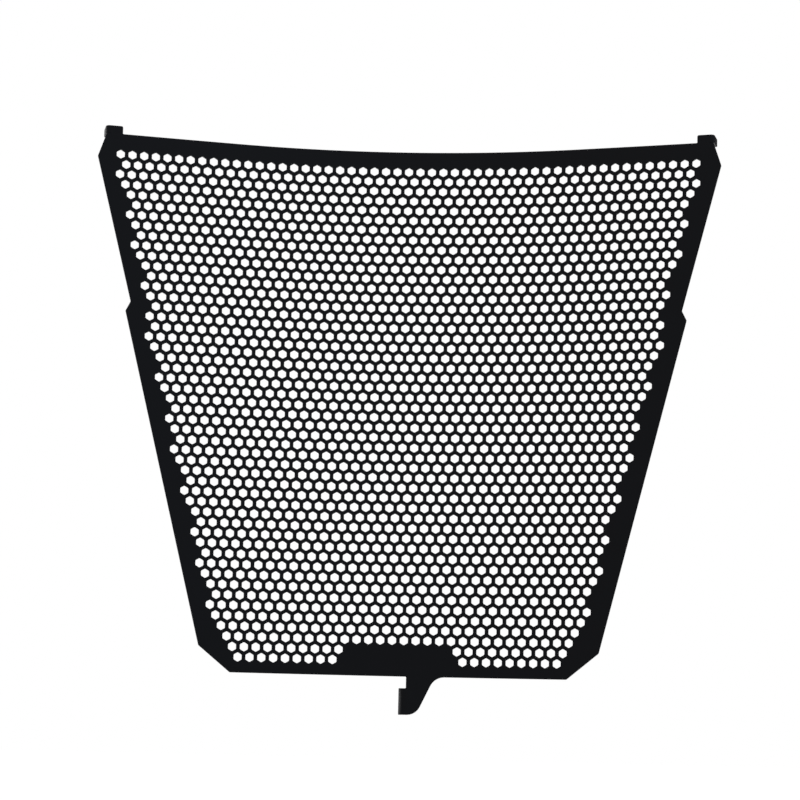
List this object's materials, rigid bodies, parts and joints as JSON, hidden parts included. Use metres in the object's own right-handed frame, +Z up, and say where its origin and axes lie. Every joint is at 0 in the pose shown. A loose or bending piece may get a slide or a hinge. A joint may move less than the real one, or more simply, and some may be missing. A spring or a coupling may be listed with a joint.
{
  "type": "motorcycle radiator guard",
  "caption": "Rolled sheet-metal guard with a honeycomb of small air holes, folded lugs at both top corners and a hook with a folded tab below.",
  "frame": {"origin": "middle of the outer face of the folded tab on the hook at the bottom edge", "axes": "+Z up, -Y the concave front that faces forward, +Y toward the radiator, +X the right-hand side of the guard in the picture"},
  "size_m": [0.371, 0.0475, 0.3457],
  "materials": {
    "coat": "satin black powder coat"
  },
  "bodies": {
    "root": {"guard": "coat"}
  },
  "joints": []
}
